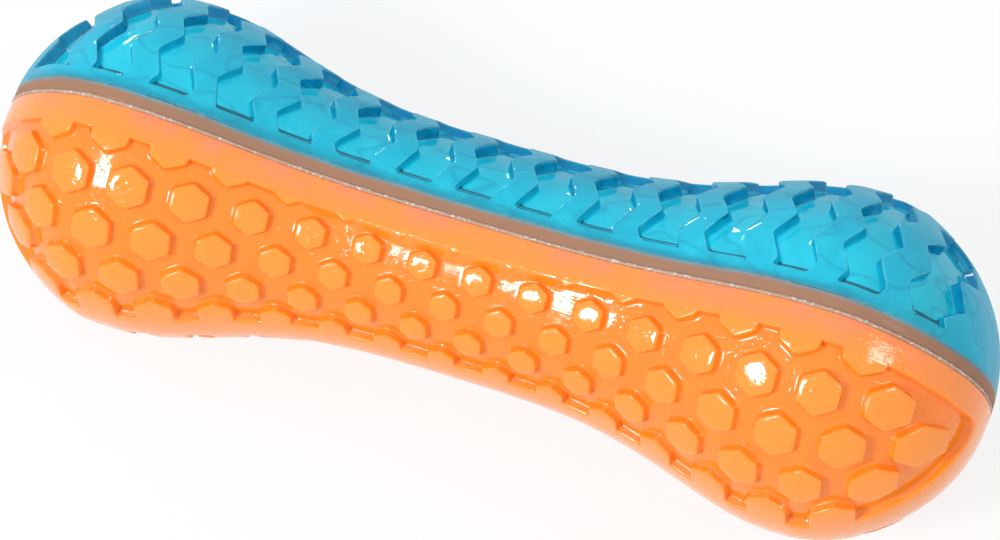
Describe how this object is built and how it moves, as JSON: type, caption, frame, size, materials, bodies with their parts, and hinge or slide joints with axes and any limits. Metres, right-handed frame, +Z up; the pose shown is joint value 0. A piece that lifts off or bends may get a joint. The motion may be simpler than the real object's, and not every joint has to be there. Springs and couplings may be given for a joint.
{
  "type": "dumbbell chew toy",
  "caption": "Dumbbell chew toy: clear blue zigzag tread half and orange hexagon stud half glued on a lengthwise tongue-and-lip seam, squeaker inside.",
  "frame": {"origin": "centre of the bounding box's bottom face: the toy lies on its seam, on the two straight seam flats of the bulbs", "axes": "+X along the toy towards the bulb that holds the squeaker, +Y towards the clear blue tread half, +Z up, along the seam plane"},
  "size_m": [0.19, 0.063, 0.0623],
  "materials": {
    "clear_blue_rubber": "glossy translucent",
    "orange_rubber": "glossy opaque",
    "clear_glue": "cured clear adhesive",
    "milky_polyethylene": "soft milky",
    "white_polystyrene": "gloss",
    "black_polystyrene": "gloss",
    "grey_polystyrene": "gloss",
    "reed_film": "thin film"
  },
  "bodies": {
    "toy": {"tread_shell": "clear_blue_rubber", "stud_shell": "orange_rubber", "seam_glue": "clear_glue", "squeaker_bulb": "milky_polyethylene", "squeaker_collar": "white_polystyrene", "reed_channel": "black_polystyrene", "reed_clamp": "grey_polystyrene"},
    "reed": {"squeaker_reed": "reed_film"}
  },
  "joints": [
    {"name": "reed_flutter", "type": "hinge", "parent": "toy", "child": "reed", "pos_m": [0.0451, -0.01205, 0.03113], "axis": [0, 0, 1], "range_deg": [-1.5, 4], "stiffness_Nm_per_rad": 0.0001}
  ]
}
